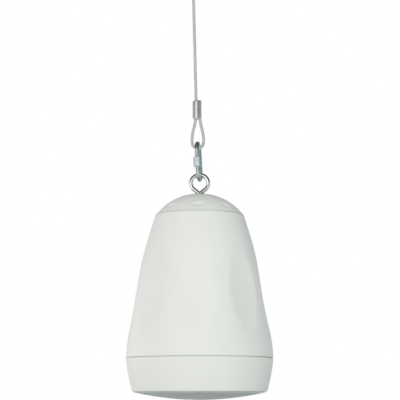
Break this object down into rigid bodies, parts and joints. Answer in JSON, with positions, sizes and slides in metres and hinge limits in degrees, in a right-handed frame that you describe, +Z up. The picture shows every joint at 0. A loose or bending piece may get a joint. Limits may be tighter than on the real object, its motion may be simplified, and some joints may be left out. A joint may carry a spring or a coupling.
{
  "type": "pendant speaker",
  "caption": "Bell-shaped pendant speaker hung from a coated wire rope by a quick link and an eye bolt, with a domed grille below",
  "frame": {"origin": "centre of the ceiling fitting's top face, on the ceiling", "axes": "+Z up out of the ceiling face, -Y towards the side the picture shows, +X to the right of it"},
  "size_m": [0.1997, 0.1998, 0.5924],
  "materials": {
    "white_shell": "smooth satin",
    "white_fitting": "satin paint",
    "rope_coat": "clear coat over strands",
    "pressed_aluminium": "pressed, satin",
    "zinc_steel": "zinc plated",
    "bright_steel": "bright plated",
    "grey_mesh": "satin grey",
    "black_cloth": "woven",
    "black_rubber": "matt",
    "pressed_board": "pressed board",
    "black_basket": "satin black",
    "plated_steel": "zinc plated",
    "ferrite": "dull, ground",
    "cone_paper": "pressed pulp",
    "former_foil": "plain foil",
    "copper_wire": "enamelled copper",
    "spider_cloth": "stiffened weave",
    "laminated_steel": "stacked sheets",
    "terminal_plastic": "moulded",
    "terminal_brass": "plain"
  },
  "bodies": {
    "suspension": {"ceiling_fitting": "white_fitting", "rope_end_ball": "pressed_aluminium", "suspension_rope": "rope_coat", "rope_ferrule": "pressed_aluminium"},
    "link": {"quick_link": "zinc_steel"},
    "sleeve": {"link_sleeve": "zinc_steel"},
    "cone": {"driver_cone": "cone_paper", "dust_cap": "cone_paper", "coil_former": "former_foil", "coil_winding": "copper_wire"},
    "knob": {"tap_knob": "terminal_plastic"},
    "speaker": {"housing_shell": "white_shell", "top_cap": "white_shell", "bottom_ring": "white_shell", "eye_nuts": "zinc_steel", "eye_washer": "zinc_steel", "housing_screws": "zinc_steel", "driver_screws": "zinc_steel", "plate_screws": "zinc_steel", "strap_screws": "zinc_steel", "eye_bolt": "bright_steel", "grille": "grey_mesh", "grille_cloth": "black_cloth", "inlet_grommet": "black_rubber", "surround": "black_rubber", "driver_gasket": "black_rubber", "plate_gasket": "black_rubber", "baffle": "pressed_board", "driver_basket": "black_basket", "driver_top_plate": "plated_steel", "driver_back_plate": "plated_steel", "support_plate": "plated_steel", "transformer_strap": "plated_steel", "driver_magnet": "ferrite", "transformer_winding": "copper_wire", "spider": "spider_cloth", "transformer_core": "laminated_steel", "terminal_block": "terminal_plastic", "tap_switch": "terminal_plastic", "terminal_screws": "terminal_brass"}
  },
  "joints": [
    {"name": "link_swing", "type": "hinge", "parent": "suspension", "child": "link", "pos_m": [0.00655, 0, -0.24689], "axis": [1, 0, 0], "range_deg": [-45, 45]},
    {"name": "speaker_swing", "type": "hinge", "parent": "link", "child": "speaker", "pos_m": [0.00915, 0, -0.29122], "axis": [0.1646, 0.9863, 0.0086], "range_deg": [-45, 45]},
    {"name": "sleeve_screw", "type": "slide", "parent": "link", "child": "sleeve", "axis": [-0.052, 0, 0.9986], "range_m": [0, 0.01]},
    {"name": "cone_stroke", "type": "slide", "parent": "speaker", "child": "cone", "axis": [0, 0, 1], "range_m": [-0.003, 0.003], "stiffness_N_per_m": 2300, "deforming": ["surround", "spider"]},
    {"name": "knob_turn", "type": "hinge", "parent": "speaker", "child": "knob", "pos_m": [0.03915, 0, -0.34819], "axis": [0, 0, 1], "range_deg": [0, 150]}
  ]
}
